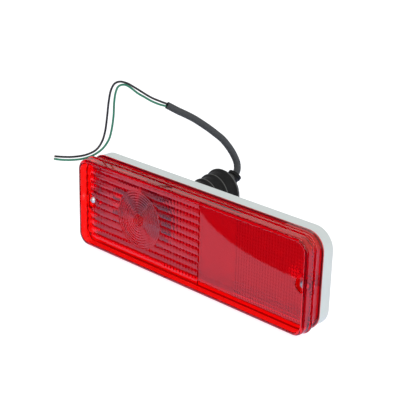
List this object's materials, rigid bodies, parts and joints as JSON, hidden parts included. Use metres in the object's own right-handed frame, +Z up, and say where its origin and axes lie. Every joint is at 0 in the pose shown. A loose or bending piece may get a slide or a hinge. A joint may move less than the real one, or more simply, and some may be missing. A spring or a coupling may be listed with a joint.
{
  "type": "trailer tail light",
  "caption": "Oblong trailer tail light: fluted red lens with two screws on a white base, twist-in bulb with a sprung socket, rubber boot behind and a short sleeved two-wire lead.",
  "frame": {"origin": "middle of the white base's back face, which sits on the trailer", "axes": "+X along the lamp, to the right as seen from the front; +Y backwards, into the trailer; +Z up; the lens faces -Y"},
  "size_m": [0.2813, 0.1442, 0.1438],
  "materials": {
    "lens_red": "clear red moulded acrylic",
    "base_white": "satin white moulded plastic",
    "screw_steel": "zinc plated",
    "plated_steel": "zinc plated strip",
    "spring_steel": "drawn wire",
    "filament_steel": "dull wire",
    "contact_brass": "drawn brass",
    "solder": "dull solder",
    "brown_board": "phenolic board",
    "red_fibre": "vulcanised fibre",
    "cap_black": "black glass",
    "bulb_glass": "clear glass",
    "black_rubber": "moulded rubber",
    "gasket_foam": "closed-cell foam",
    "loom_sleeve": "woven sleeve",
    "wire_black": "wire insulation",
    "wire_green": "wire insulation"
  },
  "bodies": {
    "housing": {"base": "base_white", "lens_gasket": "gasket_foam", "socket_shell": "plated_steel", "socket_rivets": "plated_steel", "contact_spring": "spring_steel", "spring_seat": "red_fibre", "ground_strap": "plated_steel", "mounting_studs": "screw_steel", "boot": "black_rubber", "inner_lead_black": "wire_black", "inner_lead_green": "wire_green", "loom": "loom_sleeve", "wire_black": "wire_black", "wire_green": "wire_green"},
    "lens": {"lens": "lens_red", "lens_screws": "screw_steel"},
    "bulb": {"bulb_glass": "bulb_glass", "bulb_stem": "bulb_glass", "filament_wires": "filament_steel", "brake_filament": "filament_steel", "tail_filament": "filament_steel", "bulb_cap": "contact_brass", "bayonet_pins": "contact_brass", "cap_insulator": "cap_black", "solder_contacts": "solder"},
    "contact": {"contact_disc": "brown_board", "contact_studs": "contact_brass"}
  },
  "joints": [
    {"name": "lens_off", "type": "slide", "parent": "housing", "child": "lens", "axis": [0, -1, 0], "range_m": [0, 0.045]},
    {"name": "bulb_twist", "type": "hinge", "parent": "housing", "child": "bulb", "pos_m": [-0.0576, 0.0205, 0], "axis": [0, -1, 0], "range_deg": [0, 18]},
    {"name": "contact_press", "type": "slide", "parent": "housing", "child": "contact", "axis": [0, 1, 0], "range_m": [0, 0.002], "stiffness_N_per_m": 400, "springref_m": -0.003, "deforming": ["contact_spring", "inner_lead_black", "inner_lead_green"]}
  ]
}
